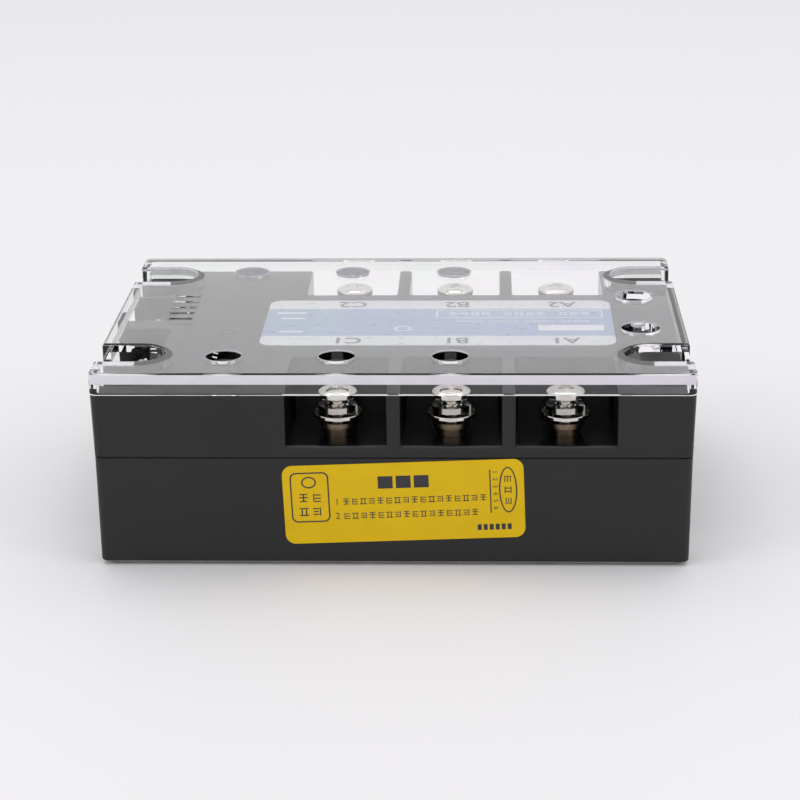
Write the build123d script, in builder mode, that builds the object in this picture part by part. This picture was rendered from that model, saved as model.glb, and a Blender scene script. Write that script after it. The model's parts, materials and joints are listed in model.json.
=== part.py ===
"""Three-phase solid state relay for panel mounting.

A black two-piece housing stands on a metal base plate. Six power terminals sit in open pockets along the
two long sides, two control terminals sit in pockets at the -X end, and a clear cover lies on top.
Origin: centre of the underside. +X along the housing, +Y across it, +Z up. Millimetres.
"""

import os
from math import atan2, degrees, sqrt

from build123d import *

os.makedirs("parts", exist_ok=True)

# ---------------------------------------------------------------- driving dimensions
LENGTH = 105.0  # housing top, along X
DEPTH = 74.0  # housing top, along Y
CASE_BOTTOM = 0.75
PARTING = 20.6  # joint between lower and upper case
CASE_TOP = 32.0
COVER_TOP = 36.0
CORNER = 1.2  # vertical corner radius of case and cover
UPPER_DRAFT = 0.3  # how much the upper case narrows on each side towards the parting line
LOWER_DRAFT = 0.2  # how much the lower case narrows on each side towards its foot
WALL = 2.0
RUN = 10.0  # how far a cutting shape runs past the face that it opens

PLATE_THICK = 3.0
PLATE_LIP = 0.85  # case wall standing around the base plate, with its play
PLATE_CORNER = 2.5
MOUNT_X, MOUNT_Y = 45.5, 25.0  # panel mounting holes, from the centre
MOUNT_HOLE_R = 2.4
NOTCH_R = 4.5  # half width of the case's screw notches
NOTCH_WALL = 1.8

POWER_X = (-9.8, 10.2, 30.2)  # terminals C, B and A
POWER_NAMES = ("c", "b", "a")
POWER_Y = 29.0
POCKET_WIDTH = 17.6
POCKET_INNER = 19.5  # inner wall of the power pockets, from the centre line
POCKET_FLOOR = 22.5
CONTROL_X = -46.5
CONTROL_Y = 10.0
CONTROL_WIDTH = 15.0
CONTROL_INNER = -42.5  # inner wall of the control pockets
CONTROL_FLOOR = 23.6
TUB_WALL = 1.6

SLOT_R = 4.9  # half width of the cover's slots
SLOT_X = 45.5
COVER_PLATE = 1.8
COVER_WALL = 1.3
SEAT_DEEP, SEAT_PLAY = 1.0, 0.15  # how far the cover's slot walls drop into the case, and their play
PROBE_R, PROBE_X, PROBE_Y = 3.25, (-30.0, -10.0, 10.0), 26.8
DRIVER_R, DRIVER_X, DRIVER_Y = 3.6, 44.4, 10.2

HALL_INSET = UPPER_DRAFT + LOWER_DRAFT + WALL  # from the outline of the housing's top to the hall inside
HALL = (LENGTH - 2 * HALL_INSET, DEPTH - 2 * HALL_INSET)
SEAM_SIZE = (LENGTH - 2 * UPPER_DRAFT, DEPTH - 2 * UPPER_DRAFT)
FOOT_SIZE = (SEAM_SIZE[0] - 2 * LOWER_DRAFT, SEAM_SIZE[1] - 2 * LOWER_DRAFT)
PLATE_SIZE = (FOOT_SIZE[0] - 2 * PLATE_LIP, FOOT_SIZE[1] - 2 * PLATE_LIP)
PLAY = 0.05  # gap between fixed parts that fit into each other

SEAM_HIGH, SEAM_DEEP = 0.3, 0.3  # shadow groove round the parting line
BOSS_X, BOSS_Y, BOSS_R = 38.5, 31.5, 3.5
CASE_SCREW_R, CASE_SCREW_HEAD_R, CASE_SCREW_LONG = 1.5, 2.8, 11.0
CASE_SCREW_CROSS = (3.2, 0.7, 1.1)  # arm length, arm width and depth of the cross recess
CASE_SCREW_SINK, CASE_SCREW_POINT = 0.15, 0.5
EDGE_BREAK = 0.25  # chamfer round the plate's underside
RIM_R = 0.4  # rounding of the cover's top edge
SHOULDER_R, FOOT_R = 0.5, 0.4  # rounding of the housing's top and bottom edges


# ---------------------------------------------------------------- shared shapes
def u_slots(centre_x, centre_y, radius):
    """Four U outlines, round at the inner end and open at the two ends of the housing."""
    with GridLocations(2 * centre_x, 2 * centre_y, 2, 2):
        Circle(radius)
    reach = LENGTH / 2 + RUN - centre_x
    with GridLocations(2 * centre_x + reach, 2 * centre_y, 2, 2):
        Rectangle(reach, 2 * radius)


def slot_tongues(play, overhang):
    """Four rectangles over the straight walls of the cover's slots, larger by the play on each side."""
    long = LENGTH / 2 - SLOT_X + play + overhang
    with GridLocations(2 * (SLOT_X - play) + long, 2 * MOUNT_Y, 2, 2):
        Rectangle(long, 2 * (SLOT_R + COVER_WALL + play))


def drafted_block(low, low_size, high, widening):
    """A block with rounded corners whose sides lean out by the widening between its two heights."""
    with BuildSketch(Plane.XY.offset(low)) as outline:
        RectangleRounded(*low_size, CORNER)
    extrude(outline.sketch, amount=high - low, taper=-degrees(atan2(widening, high - low)))


def write(piece, name):
    """Labels a finished piece and writes it under its name."""
    piece.part.label = name
    export_step(piece.part, f"parts/{name}.step")


# ---------------------------------------------------------------- base plate
with BuildPart() as base_plate:
    with BuildSketch():
        RectangleRounded(*PLATE_SIZE, PLATE_CORNER)
        with GridLocations(2 * MOUNT_X, 2 * MOUNT_Y, 2, 2):
            Circle(MOUNT_HOLE_R, mode=Mode.SUBTRACT)
        with GridLocations(2 * BOSS_X, 2 * BOSS_Y, 2, 2):
            Circle(CASE_SCREW_R + PLAY, mode=Mode.SUBTRACT)
    extrude(amount=PLATE_THICK)
    with BuildSketch():
        with GridLocations(2 * BOSS_X, 2 * BOSS_Y, 2, 2):
            Circle(CASE_SCREW_HEAD_R + PLAY)
    extrude(amount=CASE_SCREW_HEAD_R - CASE_SCREW_R, taper=45, mode=Mode.SUBTRACT)
    chamfer(base_plate.faces().sort_by(Axis.Z)[0].outer_wire().edges(), EDGE_BREAK)
write(base_plate, "base_plate")


# ---------------------------------------------------------------- lower case
with BuildPart() as lower_case:
    drafted_block(CASE_BOTTOM, FOOT_SIZE, PARTING, LOWER_DRAFT)
    fillet(lower_case.faces().sort_by(Axis.Z)[0].outer_wire().edges(), FOOT_R)
    with BuildSketch(Plane.XY.offset(CASE_BOTTOM)):
        RectangleRounded(PLATE_SIZE[0] + 2 * PLAY, PLATE_SIZE[1] + 2 * PLAY, PLATE_CORNER + PLAY)
    extrude(amount=PLATE_THICK - CASE_BOTTOM, mode=Mode.SUBTRACT)
    with BuildSketch(Plane.XY.offset(PLATE_THICK)):
        RectangleRounded(*HALL, CORNER)
        with BuildSketch(mode=Mode.SUBTRACT):
            u_slots(MOUNT_X, MOUNT_Y, NOTCH_R + NOTCH_WALL)
            with GridLocations(2 * BOSS_X, 2 * BOSS_Y, 2, 2):
                Circle(BOSS_R)
    extrude(amount=PARTING - PLATE_THICK, mode=Mode.SUBTRACT)
    with BuildSketch(Plane.XY):
        u_slots(MOUNT_X, MOUNT_Y, NOTCH_R)
    extrude(amount=CASE_TOP, mode=Mode.SUBTRACT)
    with BuildSketch(Plane.XY):
        with GridLocations(2 * BOSS_X, 2 * BOSS_Y, 2, 2):
            Circle(CASE_SCREW_R + PLAY)
    extrude(amount=CASE_SCREW_LONG + WALL, mode=Mode.SUBTRACT)
    groove_inside = (SEAM_SIZE[0] - 2 * SEAM_DEEP, SEAM_SIZE[1] - 2 * SEAM_DEEP)
    with BuildSketch(Plane.XY.offset(PARTING - SEAM_HIGH)):
        Rectangle(LENGTH + RUN, DEPTH + RUN)
        RectangleRounded(*groove_inside, CORNER, mode=Mode.SUBTRACT)
    extrude(amount=SEAM_HIGH, mode=Mode.SUBTRACT)
write(lower_case, "lower_case")


# ---------------------------------------------------------------- upper case
TUB_X = (POWER_X[0] + POWER_X[-1]) / 2
TUB_LONG = POWER_X[-1] - POWER_X[0] + POCKET_WIDTH + 2 * TUB_WALL
TUB_WIDE = HALL[1] / 2 + WALL - POCKET_INNER + TUB_WALL
TUB_Y = POCKET_INNER - TUB_WALL + TUB_WIDE / 2
CONTROL_TUB = (RUN, 2 * (CONTROL_Y + CONTROL_WIDTH / 2 + TUB_WALL))
RIB_LONG, RIB_THICK, RIB_DEEP = 60.0, 1.0, 1.5
POCKET_CORNER, SILL_R, MOUTH_R = 0.8, 0.8, 0.3
POST_NECK_R, CONTROL_NECK_R = 2.7, 2.1
LED_X, LED_Y, LED_R = -31.5, -5.5, 1.5

with BuildPart() as upper_case:
    drafted_block(PARTING, SEAM_SIZE, CASE_TOP, UPPER_DRAFT)
    fillet(upper_case.faces().sort_by(Axis.Z)[-1].outer_wire().edges(), SHOULDER_R)
    with BuildSketch(Plane.XY.offset(PARTING)):
        RectangleRounded(*HALL, CORNER)
        with BuildSketch(mode=Mode.SUBTRACT):
            u_slots(MOUNT_X, MOUNT_Y, NOTCH_R + NOTCH_WALL)
            with Locations((TUB_X, -TUB_Y), (TUB_X, TUB_Y)):
                Rectangle(TUB_LONG, TUB_WIDE)
            with Locations((CONTROL_INNER + TUB_WALL, 0)):
                Rectangle(*CONTROL_TUB, align=(Align.MAX, Align.CENTER))
    extrude(amount=CASE_TOP - WALL - PARTING, mode=Mode.SUBTRACT)
    with BuildSketch(Plane.XY.offset(PARTING)):
        u_slots(MOUNT_X, MOUNT_Y, NOTCH_R)
    extrude(amount=CASE_TOP - PARTING, mode=Mode.SUBTRACT)
    with BuildSketch(Plane.XY.offset(CASE_TOP - SEAT_DEEP)):
        slot_tongues(SEAT_PLAY, RUN)
    extrude(amount=SEAT_DEEP, mode=Mode.SUBTRACT)
    pocket_deep = DEPTH / 2 + RUN - POCKET_INNER
    pocket_y = POCKET_INNER + pocket_deep / 2
    with BuildSketch(Plane.XY.offset(POCKET_FLOOR)):
        with Locations([(x, side * pocket_y) for x in POWER_X for side in (-1, 1)]):
            RectangleRounded(POCKET_WIDTH, pocket_deep, POCKET_CORNER)
    extrude(amount=CASE_TOP - POCKET_FLOOR, mode=Mode.SUBTRACT)
    with BuildSketch(Plane.XY.offset(CONTROL_FLOOR)):
        with Locations((CONTROL_INNER, -CONTROL_Y), (CONTROL_INNER, CONTROL_Y)):
            Rectangle(2 * RUN, CONTROL_WIDTH, align=(Align.MAX, Align.CENTER))
    extrude(amount=CASE_TOP - CONTROL_FLOOR, mode=Mode.SUBTRACT)
    with BuildSketch(Plane.XY):
        with Locations([(x, side * POWER_Y) for x in POWER_X for side in (-1, 1)]):
            Circle(POST_NECK_R + PLAY)
        with Locations((CONTROL_X, -CONTROL_Y), (CONTROL_X, CONTROL_Y)):
            Circle(CONTROL_NECK_R + PLAY)
        with Locations((LED_X, LED_Y)):
            Circle(LED_R + PLAY)
    extrude(amount=CASE_TOP, mode=Mode.SUBTRACT)
    with BuildSketch(Plane.XY.offset(PARTING - RIB_DEEP)):
        rib_y = HALL[1] / 2 - PLAY - RIB_THICK / 2
        with GridLocations(0, 2 * rib_y, 1, 2):
            Rectangle(RIB_LONG, RIB_THICK)
    extrude(amount=RIB_DEEP)
    floor_edges = upper_case.edges().filter_by(Axis.X)
    sills = floor_edges.filter_by_position(Axis.Z, POCKET_FLOOR - PLAY, POCKET_FLOOR + PLAY)
    fillet(sills.filter_by(lambda edge: abs(edge.center().Y) > POWER_Y), SILL_R)
    mouths = upper_case.edges().filter_by_position(Axis.Z, POCKET_FLOOR + 1, CASE_TOP - 1)
    mouths = mouths.filter_by_position(Axis.X, POWER_X[0] - POCKET_WIDTH, POWER_X[-1] + POCKET_WIDTH)
    fillet(mouths.filter_by(lambda edge: abs(edge.center().Y) > DEPTH / 2 - UPPER_DRAFT), MOUTH_R)
write(upper_case, "upper_case")


# ---------------------------------------------------------------- clear cover
EMBOSS_HIGH = 0.2
EMBOSS_X, EMBOSS_Y, EMBOSS_STEP, EMBOSS_COUNT = -40.5, 2.8, 3.6, 5
EMBOSS_BAR = (4.6, 1.3)

with BuildPart() as clear_cover:
    with BuildSketch(Plane.XY.offset(CASE_TOP)):
        RectangleRounded(LENGTH, DEPTH, CORNER)
    extrude(amount=COVER_TOP - CASE_TOP)
    with BuildSketch(Plane.XY.offset(CASE_TOP)):
        RectangleRounded(LENGTH - 2 * COVER_WALL, DEPTH - 2 * COVER_WALL, CORNER / 2)
        with BuildSketch(mode=Mode.SUBTRACT):
            u_slots(SLOT_X, MOUNT_Y, SLOT_R + COVER_WALL)
    extrude(amount=COVER_TOP - COVER_PLATE - CASE_TOP, mode=Mode.SUBTRACT)
    with BuildSketch(Plane.XY.offset(CASE_TOP - SEAT_DEEP)):
        slot_tongues(0, 0)
    extrude(amount=SEAT_DEEP)
    with BuildSketch(Plane.XY.offset(CASE_TOP - SEAT_DEEP)):
        u_slots(SLOT_X, MOUNT_Y, SLOT_R)
        with Locations([(x, side * PROBE_Y) for x in PROBE_X for side in (-1, 1)]):
            Circle(PROBE_R)
        with GridLocations(0, 2 * DRIVER_Y, 1, 2):
            with Locations((DRIVER_X, 0)):
                Circle(DRIVER_R)
    extrude(amount=COVER_TOP, mode=Mode.SUBTRACT)
    rim = clear_cover.faces().filter_by(Axis.Z).sort_by(Axis.Z)[-1]
    fillet(rim.outer_wire().edges(), RIM_R)
    with BuildSketch(Plane.XY.offset(COVER_TOP)):
        with Locations((EMBOSS_X, EMBOSS_Y)):
            with GridLocations(0, EMBOSS_STEP, 1, EMBOSS_COUNT):
                Rectangle(*EMBOSS_BAR)
    extrude(amount=EMBOSS_HIGH)
write(clear_cover, "clear_cover")


# ---------------------------------------------------------------- labels
LABEL_SIZE, LABEL_CORNER, LABEL_THICK = (65.2, 28.1), 2.5, 0.15
LABEL_CENTRE = (7.4, 1.1)
STICKER_SIZE, STICKER_CORNER, STICKER_THICK = (42.2, 14.7), 1.8, 0.12
STICKER_X, STICKER_Z, STICKER_TILT = 1.9, 12.3, 2.05

with BuildPart() as rating_label:
    with BuildSketch(Plane.XY.offset(CASE_TOP)):
        with Locations(LABEL_CENTRE):
            RectangleRounded(*LABEL_SIZE, LABEL_CORNER)
    extrude(amount=LABEL_THICK)
write(rating_label, "rating_label")

lean = LOWER_DRAFT / (PARTING - CASE_BOTTOM)
sticker_y = -(FOOT_SIZE[1] / 2 + lean * (STICKER_Z - CASE_BOTTOM))
front_plane = Plane(origin=(STICKER_X, sticker_y, STICKER_Z), x_dir=(1, 0, 0), z_dir=(0, -1, -lean))
with BuildPart() as front_label:
    with BuildSketch(front_plane):
        RectangleRounded(*STICKER_SIZE, STICKER_CORNER, rotation=STICKER_TILT)
    extrude(amount=STICKER_THICK)
write(front_label, "front_label")


# ---------------------------------------------------------------- terminal hardware
class Terminal:
    """Sizes of one kind of screw terminal, all heights above the underside."""

    def __init__(self, thread_r, head_r, head_high, under_head, screw_long, recess, flat_r, flat_thick,
                 flat_z, spring_r, spring_wire, spring_rise, neck_r, flange_r, flange_z, post_top):
        self.thread_r = thread_r
        self.head_r = head_r
        self.head_high = head_high
        self.under_head = under_head
        self.screw_long = screw_long
        self.recess = recess
        self.flat_r = flat_r
        self.flat_thick = flat_thick
        self.flat_z = flat_z
        self.spring_r = spring_r
        self.spring_wire = spring_wire
        self.spring_rise = spring_rise
        self.neck_r = neck_r
        self.flange_r = flange_r
        self.flange_z = flange_z
        self.post_top = post_top


POWER = Terminal(
    thread_r=2.0, head_r=3.6, head_high=1.85, under_head=29.35, screw_long=12.0, recess=(4.2, 0.95, 1.3),
    flat_r=4.3, flat_thick=0.55, flat_z=25.95, spring_r=3.4, spring_wire=(1.15, 1.05), spring_rise=0.45,
    neck_r=POST_NECK_R, flange_r=3.4, flange_z=24.1, post_top=25.0,
)
CONTROL = Terminal(
    thread_r=1.5, head_r=2.75, head_high=1.5, under_head=28.2, screw_long=10.0, recess=(3.2, 0.75, 1.0),
    flat_r=3.25, flat_thick=0.5, flat_z=26.2, spring_r=2.65, spring_wire=(0.9, 0.75), spring_rise=0.3,
    neck_r=CONTROL_NECK_R, flange_r=2.8, flange_z=24.8, post_top=25.6,
)
BORE_PLAY = 0.05  # radial clearance of a screw in its post
WASHER_PLAY = 0.15  # radial clearance of a flat washer on its screw
TIP_CHAMFER, WASHER_CHAMFER, RECESS_TAPER = 0.4, 0.12, 12.0
CROWN_R, CROWN_DROP = 0.68, 0.28  # a point of the domed head, as parts of its radius and height
HEAD_SIDE = 0.45  # straight side of a head, as a part of its height
COIL_TURN = 0.94  # how much of a full turn a spring washer makes
HEAD_TURN = {"c1": 24, "b1": 2, "a1": 47, "c2": 12, "b2": 65, "a2": 33, "in_3": 20, "in_4": 75}

SITES = {}
for letter, x in zip(POWER_NAMES, POWER_X):
    SITES[letter + "1"] = (POWER, x, -POWER_Y)
    SITES[letter + "2"] = (POWER, x, POWER_Y)
SITES["in_3"] = (CONTROL, CONTROL_X, CONTROL_Y)
SITES["in_4"] = (CONTROL, CONTROL_X, -CONTROL_Y)


def upright(x, y):
    """The upright plane through a vertical axis, for profiles that are turned about it."""
    return Plane(origin=(x, y, 0), x_dir=(1, 0, 0), z_dir=(0, -1, 0))


def turned(x, y, points):
    """A solid turned about the vertical axis at x, y from an outline of (radius, height) points."""
    with BuildSketch(upright(x, y)) as outline:
        with BuildLine():
            Polyline(*points, close=True)
        make_face()
    revolve(outline.sketch, axis=Axis((x, y, 0), (0, 0, 1)))


for site, (kind, x, y) in SITES.items():
    under = kind.under_head
    top = under + kind.head_high
    tip = under - kind.screw_long
    shoulder = (kind.head_r, under + HEAD_SIDE * kind.head_high)
    crown = (CROWN_R * kind.head_r, top - CROWN_DROP * kind.head_high)
    with BuildPart() as terminal_screw:
        with BuildSketch(upright(x, y)):
            with BuildLine():
                Polyline((0, top), (0, tip), (kind.thread_r - TIP_CHAMFER, tip),
                         (kind.thread_r, tip + TIP_CHAMFER), (kind.thread_r, under),
                         (kind.head_r, under), shoulder)
                ThreePointArc(shoulder, crown, (0, top))
            make_face()
        revolve(axis=Axis((x, y, 0), (0, 0, 1)))
        arm, slot, deep = kind.recess
        with BuildSketch(Plane(origin=(x, y, top))):
            Rectangle(arm, slot, rotation=HEAD_TURN[site])
            Rectangle(slot, arm, rotation=HEAD_TURN[site])
        extrude(amount=-deep, taper=RECESS_TAPER, mode=Mode.SUBTRACT)
    write(terminal_screw, f"screw_{site}")

    with BuildPart() as flat_washer:
        with BuildSketch(Plane(origin=(x, y, kind.flat_z))):
            Circle(kind.flat_r)
            Circle(kind.thread_r + WASHER_PLAY, mode=Mode.SUBTRACT)
        extrude(amount=kind.flat_thick)
        chamfer(flat_washer.faces().sort_by(Axis.Z)[-1].outer_wire().edges(), WASHER_CHAMFER)
    write(flat_washer, f"flat_washer_{site}")

    wire_wide, wire_high = kind.spring_wire
    coil_r = kind.spring_r - wire_wide / 2
    coil_z = kind.flat_z + kind.flat_thick + wire_high / 2
    coil_pitch = kind.spring_rise / COIL_TURN
    with BuildPart() as spring_washer:
        with BuildLine():
            coil = Helix(coil_pitch, kind.spring_rise, coil_r, center=(x, y, coil_z))
        with BuildSketch(Plane(origin=coil @ 0, x_dir=(1, 0, 0), z_dir=coil % 0)):
            Rectangle(wire_wide, wire_high)
        sweep(is_frenet=True)
    write(spring_washer, f"spring_washer_{site}")


# ---------------------------------------------------------------- terminal posts
BUSBAR_THICK, BUSBAR_WIDE, BUSBAR_TOP = 1.2, 8.0, 18.8
STRIP_THICK, STRIP_WIDE, STRIP_TOP = 0.8, 5.0, 18.4
POST_FOOT_DEEP = 2.6  # how far a post's tail hangs below its collar
POST_COLLAR_R, CONTROL_COLLAR_R = 4.2, 3.2


def post(kind, x, y, collar_z, collar_r, floor_under):
    """A bored brass post: a tail through the conductor, a collar under the floor and a flange on top."""
    bore = kind.thread_r + BORE_PLAY
    neck = kind.neck_r
    tail = collar_z - POST_FOOT_DEEP
    turned(x, y, [
        (bore, tail), (neck, tail), (neck, collar_z), (collar_r, collar_z), (collar_r, floor_under),
        (neck, floor_under), (neck, kind.flange_z), (kind.flange_r, kind.flange_z),
        (kind.flange_r, kind.post_top), (bore, kind.post_top)])


with BuildPart() as power_posts:
    for x in POWER_X:
        for y in (-POWER_Y, POWER_Y):
            post(POWER, x, y, BUSBAR_TOP, POST_COLLAR_R, PARTING - PLAY)
write(power_posts, "power_posts")

with BuildPart() as control_posts:
    for y in (-CONTROL_Y, CONTROL_Y):
        post(CONTROL, CONTROL_X, y, STRIP_TOP, CONTROL_COLLAR_R, PARTING - PLAY)
write(control_posts, "control_posts")


# ---------------------------------------------------------------- power stage
SUBSTRATE_THICK, PAD_THICK, CHIP_THICK, STRAP_THICK = 0.63, 0.3, 0.4, 0.4
SUBSTRATE_SIZE, PAD_SIZE, CHIP_SIZE = (18.0, 36.0), (16.0, 16.4), (7.6, 7.6)
PAD_Y, CHIP_X, CHIP_Y = 8.8, 3.9, 6.6
SUBSTRATE_TOP = PLATE_THICK + SUBSTRATE_THICK
PAD_TOP = SUBSTRATE_TOP + PAD_THICK
CHIP_TOP = PAD_TOP + CHIP_THICK
RISER_Y, FOOT_INNER_Y = 16.6, 13.0  # outer face of the foot end and its inner end
STRAP_WIDE, STRAP_RISE, STRAP_FOOT = 5.0, 1.2, 2.4
STRAP_OVER_CHIP, STRAP_PAD_Y = 1.0, 2.2  # how far a strap runs past the chip's middle; its foot on the pad
BUSBAR_OVERHANG = 4.0  # how far a busbar runs past its post


def plates(low, size, thick, spots):
    """Flat rectangles of one size laid at the given spots."""
    with BuildSketch(Plane.XY.offset(low)) as outline:
        with Locations(spots):
            Rectangle(*size)
    extrude(outline.sketch, amount=thick)


with BuildPart() as ceramic_substrates:
    plates(PLATE_THICK, SUBSTRATE_SIZE, SUBSTRATE_THICK, [(x, 0) for x in POWER_X])
write(ceramic_substrates, "ceramic_substrates")

with BuildPart() as copper_pads:
    plates(SUBSTRATE_TOP, PAD_SIZE, PAD_THICK, [(x, y) for x in POWER_X for y in (-PAD_Y, PAD_Y)])
write(copper_pads, "copper_pads")

chip_spots = [(x + side * CHIP_X, side * CHIP_Y) for x in POWER_X for side in (-1, 1)]
with BuildPart() as thyristor_chips:
    plates(PAD_TOP, CHIP_SIZE, CHIP_THICK, chip_spots)
write(thyristor_chips, "thyristor_chips")


def side_strip(x, wide, outline):
    """A bent strip: an outline of (y, z) points, as wide as the strip along X."""
    with BuildSketch(Plane(origin=(x - wide / 2, 0, 0), x_dir=(0, 1, 0), z_dir=(1, 0, 0))) as profile:
        with BuildLine():
            Polyline(*outline, close=True)
        make_face()
    extrude(profile.sketch, amount=wide)


with BuildPart() as chip_straps:
    for x in POWER_X:
        for side in (-1, 1):
            chip_in, chip_out = side * (CHIP_Y - STRAP_FOOT), side * (CHIP_Y + STRAP_OVER_CHIP)
            pad_in, pad_out = -side * STRAP_PAD_Y, -side * (STRAP_PAD_Y + STRAP_FOOT)
            thick = side * STRAP_THICK
            chip_skin, pad_skin = CHIP_TOP + STRAP_THICK, PAD_TOP + STRAP_THICK
            roof = CHIP_TOP + STRAP_RISE
            side_strip(x + side * CHIP_X, STRAP_WIDE, [
                (chip_out, CHIP_TOP), (chip_out, chip_skin), (chip_in + thick, chip_skin),
                (chip_in + thick, roof), (pad_in - thick, roof), (pad_in - thick, pad_skin),
                (pad_out, pad_skin), (pad_out, PAD_TOP), (pad_in, PAD_TOP),
                (pad_in, roof - STRAP_THICK), (chip_in, roof - STRAP_THICK), (chip_in, CHIP_TOP)])
write(chip_straps, "chip_straps")


for row, side in (("front", -1), ("rear", 1)):
    with BuildPart() as busbars:
        low, high = BUSBAR_TOP - BUSBAR_THICK, BUSBAR_TOP
        foot_top = PAD_TOP + BUSBAR_THICK
        foot_end, riser = side * FOOT_INNER_Y, side * RISER_Y
        riser_in, bar_end = side * (RISER_Y - BUSBAR_THICK), side * (POWER_Y + BUSBAR_OVERHANG)
        for x in POWER_X:
            side_strip(x, BUSBAR_WIDE, [
                (foot_end, PAD_TOP), (riser, PAD_TOP), (riser, low), (bar_end, low),
                (bar_end, high), (riser_in, high), (riser_in, foot_top), (foot_end, foot_top)])
        with BuildSketch(Plane.XY.offset(BUSBAR_TOP)):
            with Locations([(x, side * POWER_Y) for x in POWER_X]):
                Circle(POWER.neck_r + PLAY)
        extrude(amount=-2 * BUSBAR_THICK, mode=Mode.SUBTRACT)
    write(busbars, f"busbars_{row}")


# ---------------------------------------------------------------- control board
BOARD_LOW, BOARD_THICK = 12.0, 1.6
BOARD_X, BOARD_SIZE = -1.0, (92.0, 29.0)
BOARD_TOP = BOARD_LOW + BOARD_THICK
SPACER_R, SPACER_INSET, SPACER_Y = 2.0, 3.0, 10.5
SPACER_X = BOARD_SIZE[0] / 2 - SPACER_INSET
SPACER_SPOTS = [(x, y) for x in (BOARD_X - SPACER_X, BOARD_X + SPACER_X) for y in (-SPACER_Y, SPACER_Y)]
OPTO_SIZE, OPTO_HIGH, OPTO_CHAMFER = (8.8, 6.4), 3.5, 0.4
CAPACITOR_SIZE, CAPACITOR_HIGH, CAPACITOR_Y, CAPACITOR_CORNER = (7.2, 3.6), 7.5, 9.8, 0.6
RESISTOR_R, RESISTOR_LONG, RESISTOR_Y = 1.1, 6.5, (-12.6, -8.6)
TRANSISTOR_SPOT, TRANSISTOR_R, TRANSISTOR_HIGH = (-24.0, 6.0), 2.3, 4.6
LEAD_R, LEAD_X = 0.3, 1.27

with BuildPart() as control_board:
    plates(BOARD_LOW, BOARD_SIZE, BOARD_THICK, [(BOARD_X, 0)])
write(control_board, "control_board")

with BuildPart() as board_spacers:
    with BuildSketch(Plane.XY.offset(PLATE_THICK)):
        with Locations(SPACER_SPOTS):
            Circle(SPACER_R)
    extrude(amount=BOARD_LOW - PLATE_THICK)
write(board_spacers, "board_spacers")

with BuildPart() as optocouplers:
    plates(BOARD_TOP, OPTO_SIZE, OPTO_HIGH, [(x, 0) for x in POWER_X])
    chamfer(optocouplers.faces().sort_by(Axis.Z)[-len(POWER_X):].edges(), OPTO_CHAMFER)
write(optocouplers, "optocouplers")

with BuildPart() as snubber_capacitors:
    plates(BOARD_TOP, CAPACITOR_SIZE, CAPACITOR_HIGH, [(x, CAPACITOR_Y) for x in POWER_X])
    fillet(snubber_capacitors.edges().filter_by(Axis.Z), CAPACITOR_CORNER)
write(snubber_capacitors, "snubber_capacitors")

with BuildPart() as resistors:
    for x in POWER_X:
        for y in RESISTOR_Y:
            end = (x - RESISTOR_LONG / 2, y, BOARD_TOP + RESISTOR_R)
            with BuildSketch(Plane(origin=end, z_dir=(1, 0, 0))):
                Circle(RESISTOR_R)
    extrude(amount=RESISTOR_LONG)
write(resistors, "resistors")

with BuildPart() as driver_transistor:
    with BuildSketch(Plane.XY.offset(BOARD_TOP)):
        with Locations(TRANSISTOR_SPOT):
            Circle(TRANSISTOR_R)
        with Locations((TRANSISTOR_SPOT[0], TRANSISTOR_SPOT[1] + TRANSISTOR_R / 2)):
            Rectangle(2 * TRANSISTOR_R, TRANSISTOR_R, align=(Align.CENTER, Align.MIN), mode=Mode.SUBTRACT)
    extrude(amount=TRANSISTOR_HIGH)
write(driver_transistor, "driver_transistor")

LED_FLANGE_R, LED_FLANGE_HIGH, LED_LOW, LED_HIGH = 1.8, 1.0, 26.6, 32.4
DOME = LED_R * sqrt(0.5)
with BuildPart() as indicator_led:
    with BuildSketch(upright(LED_X, LED_Y)) as lens:
        with BuildLine():
            Polyline((0, LED_HIGH), (0, LED_LOW), (LED_FLANGE_R, LED_LOW),
                     (LED_FLANGE_R, LED_LOW + LED_FLANGE_HIGH), (LED_R, LED_LOW + LED_FLANGE_HIGH),
                     (LED_R, LED_HIGH - LED_R))
            ThreePointArc((LED_R, LED_HIGH - LED_R), (DOME, LED_HIGH - LED_R + DOME), (0, LED_HIGH))
        make_face()
    revolve(axis=Axis((LED_X, LED_Y, 0), (0, 0, 1)))
write(indicator_led, "indicator_led")

with BuildPart() as led_leads:
    with BuildSketch(Plane.XY.offset(BOARD_TOP)):
        with Locations((LED_X - LEAD_X, LED_Y), (LED_X + LEAD_X, LED_Y)):
            Circle(LEAD_R)
    extrude(amount=LED_LOW - BOARD_TOP)
write(led_leads, "led_leads")

STRIP_RISER_X, STRIP_OVERHANG = -41.5, 2.4
with BuildPart() as control_strips:
    low, high = STRIP_TOP - STRIP_THICK, STRIP_TOP
    strip_end, riser_out = CONTROL_X - STRIP_OVERHANG, STRIP_RISER_X - STRIP_THICK
    for y in (-CONTROL_Y, CONTROL_Y):
        with BuildSketch(upright(0, y + STRIP_WIDE / 2)) as profile:
            with BuildLine():
                Polyline((strip_end, low), (riser_out, low), (riser_out, BOARD_TOP),
                         (STRIP_RISER_X, BOARD_TOP), (STRIP_RISER_X, high), (strip_end, high), close=True)
            make_face()
        extrude(profile.sketch, amount=STRIP_WIDE)
    with BuildSketch(Plane.XY.offset(STRIP_TOP)):
        with Locations((CONTROL_X, -CONTROL_Y), (CONTROL_X, CONTROL_Y)):
            Circle(CONTROL.neck_r + PLAY)
    extrude(amount=-2 * STRIP_THICK, mode=Mode.SUBTRACT)
write(control_strips, "control_strips")


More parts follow.
